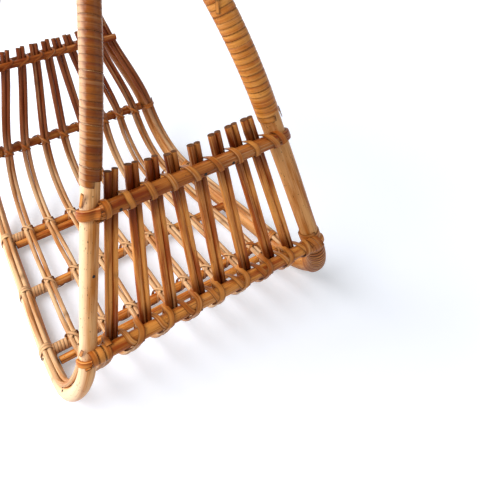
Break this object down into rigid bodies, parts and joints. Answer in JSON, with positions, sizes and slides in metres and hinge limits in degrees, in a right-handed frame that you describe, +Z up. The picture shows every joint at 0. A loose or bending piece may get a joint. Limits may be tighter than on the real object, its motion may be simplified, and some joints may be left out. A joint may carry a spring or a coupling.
{
  "type": "rattan magazine holder",
  "caption": "Standing rattan magazine holder with two bent side hoops that meet in a bound handle, a slatted front and a bed of paired ribs.",
  "frame": {"origin": "middle of the footprint, on the floor that the side hoops stand on", "axes": "+X to the right as seen from the slatted front, +Y from the front panel to the back, +Z up"},
  "size_m": [0.3742, 0.454, 0.5],
  "materials": {
    "pole_cane": "gloss varnish over natural rattan pole",
    "rail_cane": "gloss varnish over natural rattan",
    "slat_cane": "gloss varnish over natural rattan",
    "rib_cane": "gloss varnish over peeled rattan core",
    "peel": "gloss varnish over flat rattan peel"
  },
  "bodies": {
    "root": {"back_arm_wrap_left": "peel", "back_arm_wrap_right": "peel", "back_middle_lashing": "peel", "back_middle_rail": "rail_cane", "back_top_inner_rail": "rail_cane", "back_top_lashing": "peel", "back_top_outer_rail": "rail_cane", "floor_rail": "rail_cane", "floor_rail_lashing": "peel", "front_arm_wrap_right": "peel", "front_bottom_lashing": "peel", "front_bottom_rail": "rail_cane", "front_top_lashing": "peel", "front_top_rail": "rail_cane", "heel_rail": "rail_cane", "heel_rail_lashing": "peel", "heel_second_rail": "rail_cane", "left_arm_and_handle_wrap": "peel", "left_frame_cane": "pole_cane", "rib_01_left": "rib_cane", "rib_01_right": "rib_cane", "rib_02_left": "rib_cane", "rib_02_right": "rib_cane", "rib_03_left": "rib_cane", "rib_03_right": "rib_cane", "rib_04_left": "rib_cane", "rib_04_right": "rib_cane", "rib_05_left": "rib_cane", "rib_05_right": "rib_cane", "rib_06_left": "rib_cane", "rib_06_right": "rib_cane", "rib_07_left": "rib_cane", "rib_07_right": "rib_cane", "rib_08_left": "rib_cane", "rib_08_right": "rib_cane", "rib_09_left": "rib_cane", "rib_09_right": "rib_cane", "rib_10_left": "rib_cane", "rib_10_right": "rib_cane", "right_frame_cane": "pole_cane", "right_toe_wrap": "peel", "slat_1_broad": "slat_cane", "slat_1_slim": "slat_cane", "slat_2_broad": "slat_cane", "slat_2_slim": "slat_cane", "slat_3_broad": "slat_cane", "slat_3_slim": "slat_cane", "slat_4_broad": "slat_cane", "slat_4_slim": "slat_cane", "slat_5_broad": "slat_cane", "slat_5_slim": "slat_cane", "slat_6_broad": "slat_cane", "slat_6_slim": "slat_cane", "slat_7_broad": "slat_cane", "slat_7_slim": "slat_cane", "slat_8_broad": "slat_cane", "slat_8_slim": "slat_cane", "toe_rail": "rail_cane", "toe_rail_lashing": "peel", "toe_second_rail": "rail_cane"}
  },
  "joints": []
}
